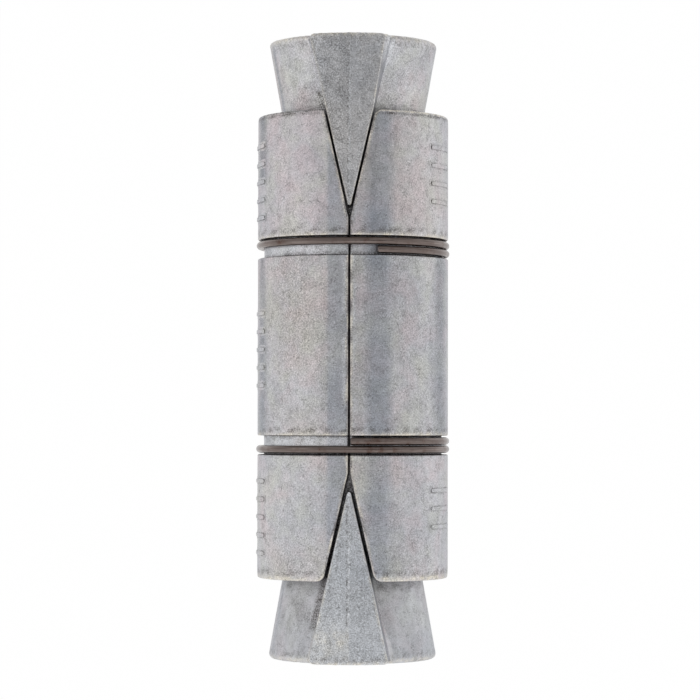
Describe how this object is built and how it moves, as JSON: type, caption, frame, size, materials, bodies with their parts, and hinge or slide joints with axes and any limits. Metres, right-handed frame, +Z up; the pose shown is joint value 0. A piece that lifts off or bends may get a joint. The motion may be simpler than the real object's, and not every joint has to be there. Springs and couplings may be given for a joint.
{
  "type": "double expansion shield anchor",
  "caption": "Double expansion shield anchor: two cast half shells held by wire rings, spread by a plain cone and a threaded cone when a bolt draws them together.",
  "frame": {"origin": "centre of the threaded cone's big end, which the anchor stands on", "axes": "+Z up along the bolt's axis, from the threaded cone to the plain cone; the two shells lie to -X and +X, and the seam with the fins faces -Y and +Y"},
  "size_m": [0.0314, 0.0314, 0.1],
  "materials": {
    "shell_casting": "as-cast zinc alloy, matt light grey with a fine grain",
    "cone_casting": "as-cast zinc alloy, matt grey",
    "ring_wire": "drawn steel wire, dark brown-grey"
  },
  "bodies": {
    "threaded_cone": {"threaded_expander_cone": "cone_casting"},
    "left_shell": {"shield_half_left": "shell_casting", "upper_wire_ring": "ring_wire", "lower_wire_ring": "ring_wire"},
    "right_shell": {"shield_half_right": "shell_casting"},
    "plain_cone": {"plain_expander_cone": "cone_casting"}
  },
  "joints": [
    {"name": "cone_draw", "type": "slide", "parent": "threaded_cone", "child": "plain_cone", "axis": [0, 0, -1], "range_m": [0, 0.0109]},
    {"name": "shield_shift", "type": "slide", "parent": "threaded_cone", "child": "left_shell", "axis": [-0.1507, 0, -0.9886], "range_m": [0, 0.00597]},
    {"name": "shell_spread", "type": "slide", "parent": "left_shell", "child": "right_shell", "axis": [1, 0, 0], "range_m": [0, 0.0018], "deforming": ["upper_wire_ring", "lower_wire_ring"]}
  ],
  "couplings": [
    {"joint": "shield_shift", "follows": "cone_draw", "ratio": 0.54754},
    {"joint": "shell_spread", "follows": "cone_draw", "ratio": 0.16507}
  ]
}
